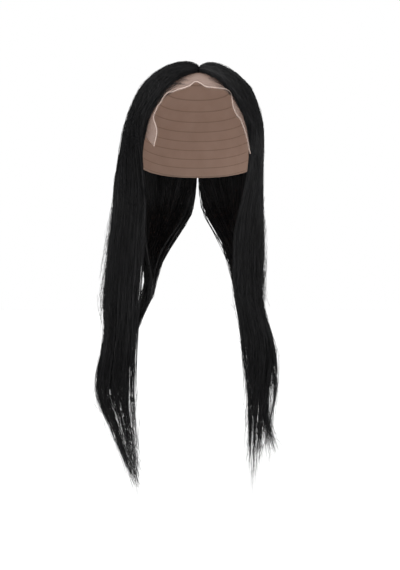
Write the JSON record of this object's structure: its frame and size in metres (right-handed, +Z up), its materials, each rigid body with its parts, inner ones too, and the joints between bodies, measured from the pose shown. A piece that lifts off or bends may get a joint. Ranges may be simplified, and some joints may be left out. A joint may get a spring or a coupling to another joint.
{
  "type": "hair topper",
  "caption": "Long straight black hair topper with a centre part, a cap base and a sheer lace front with a wavy uncut edge, in the form it has when worn.",
  "frame": {"origin": "crown of the head, on the inside of the cap", "axes": "+Z up, the wearer faces -Y, +X is the wearer's left and the right of the picture"},
  "size_m": [0.2058, 0.1849, 0.5117],
  "materials": {
    "cap_net": "tan net, matte",
    "lace": "sheer pinkish tan net, matte",
    "hair": "straight black hair, soft sheen"
  },
  "bodies": {
    "root": {"cap_base": "cap_net", "lace_front": "lace", "hair_left": "hair", "hair_right": "hair"}
  },
  "joints": []
}
